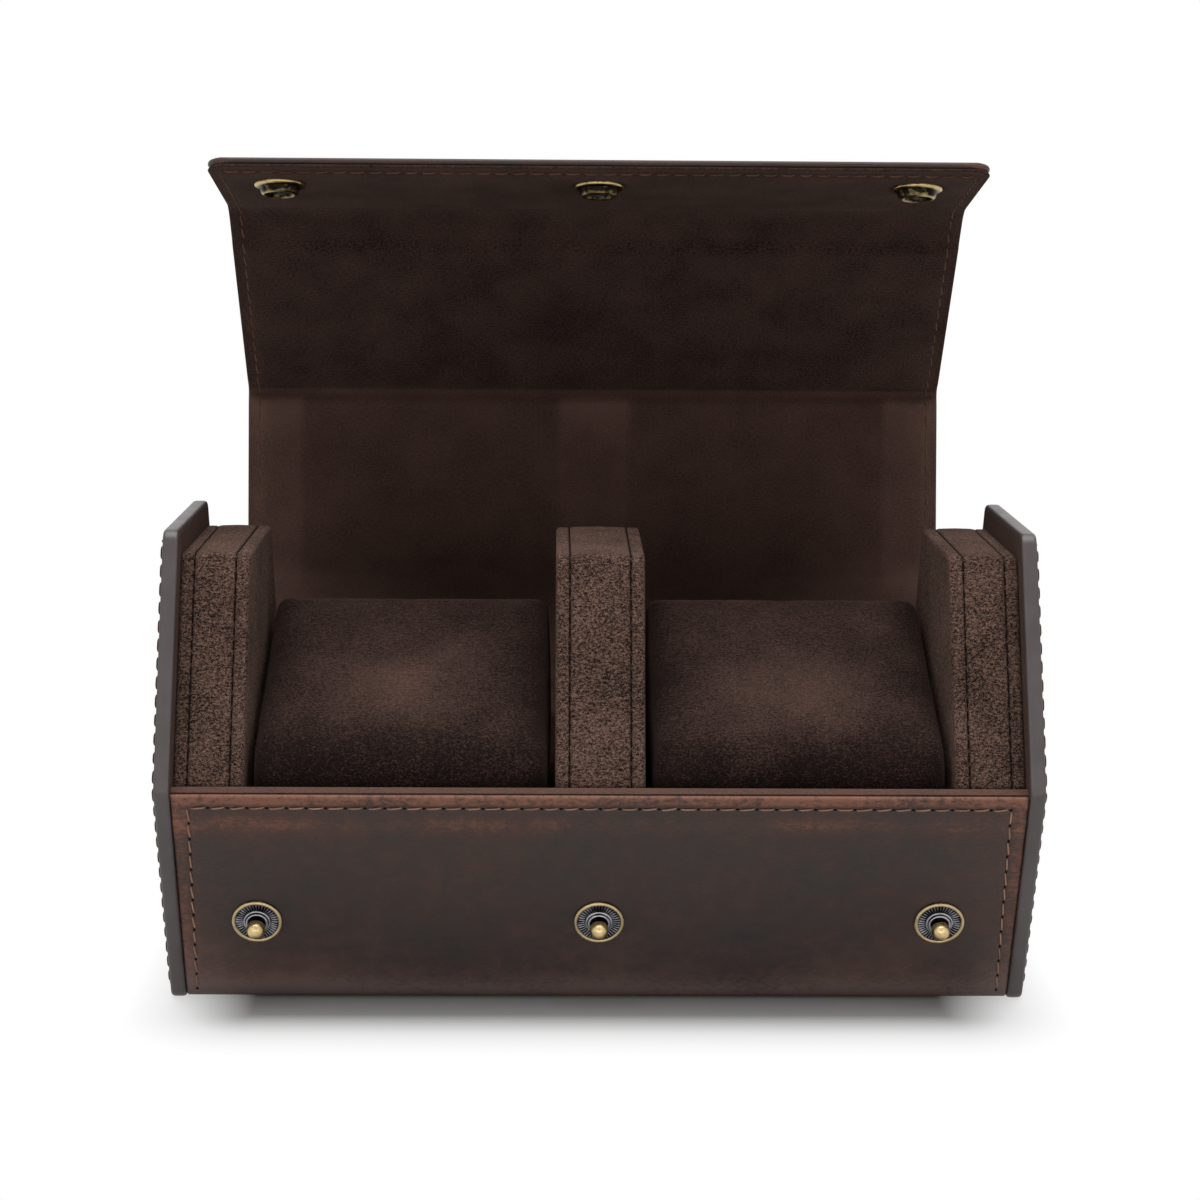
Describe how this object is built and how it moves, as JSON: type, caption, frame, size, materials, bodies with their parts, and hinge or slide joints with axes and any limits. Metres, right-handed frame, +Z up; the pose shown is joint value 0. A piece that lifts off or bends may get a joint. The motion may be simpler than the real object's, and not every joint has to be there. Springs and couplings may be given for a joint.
{
  "type": "leather watch case",
  "caption": "Hexagonal leather travel case for watches, with padded dividers, lift-out cushions and a folding leather lid closed by press studs.",
  "frame": {"origin": "centre of the base face, on the surface the case stands on", "axes": "+X along the case to the right as seen from the front, +Y to the back where the lid is hinged, +Z up"},
  "size_m": [0.17, 0.1374, 0.1653],
  "materials": {
    "leather": "waxed, matt",
    "suede": "napped microfibre",
    "board": "raw pressed fibreboard",
    "foam": "open-cell foam",
    "antique_brass": "antique, worn",
    "spring_steel": "bright wire"
  },
  "bodies": {
    "case": {"shell_leather": "leather", "front_board": "board", "bottom_board": "board", "back_board": "board", "shell_lining": "suede", "left_end_leather": "leather", "left_end_board": "board", "left_end_lining": "suede", "right_end_leather": "leather", "right_end_board": "board", "right_end_lining": "suede", "left_divider_core": "foam", "left_divider_cover": "suede", "centre_divider_core": "foam", "centre_divider_cover": "suede", "right_divider_core": "foam", "right_divider_cover": "suede", "snap_studs": "antique_brass", "snap_posts": "antique_brass"},
    "lid_back": {"lid_back_leather": "leather", "lid_back_board": "board", "lid_back_lining": "suede"},
    "lid_top": {"lid_top_leather": "leather", "lid_top_board": "board", "lid_top_lining": "suede"},
    "lid_front": {"lid_front_leather": "leather", "lid_front_board": "board", "lid_front_lining": "suede"},
    "lid_flap": {"lid_flap_leather": "leather", "lid_flap_board": "board", "lid_flap_lining": "suede", "snap_sockets": "antique_brass", "snap_springs": "spring_steel", "snap_caps": "antique_brass"},
    "left_cushion": {"left_cushion_core": "foam", "left_cushion_cover": "suede"},
    "right_cushion": {"right_cushion_core": "foam", "right_cushion_cover": "suede"}
  },
  "joints": [
    {"name": "lid_hinge", "type": "hinge", "parent": "case", "child": "lid_back", "pos_m": [0, 0.04162, 0.04656], "axis": [1, 0, 0], "range_deg": [-37.5, 87.83]},
    {"name": "top_crease", "type": "hinge", "parent": "lid_back", "child": "lid_top", "pos_m": [0, 0.08704, 0.06774], "axis": [1, 0, 0], "range_deg": [-56, 11.16]},
    {"name": "front_crease", "type": "hinge", "parent": "lid_top", "child": "lid_front", "pos_m": [0, 0.09398, 0.11153], "axis": [1, 0, 0], "range_deg": [-48, 16.68]},
    {"name": "flap_crease", "type": "hinge", "parent": "lid_front", "child": "lid_flap", "pos_m": [0, 0.05822, 0.1557], "axis": [1, 0, 0], "range_deg": [-38, 9.54]},
    {"name": "left_cushion_lift", "type": "slide", "parent": "case", "child": "left_cushion", "axis": [0, 0.33, 0.944], "range_m": [0, 0.01]},
    {"name": "right_cushion_lift", "type": "slide", "parent": "case", "child": "right_cushion", "axis": [0, 0.33, 0.944], "range_m": [0, 0.01]}
  ]
}
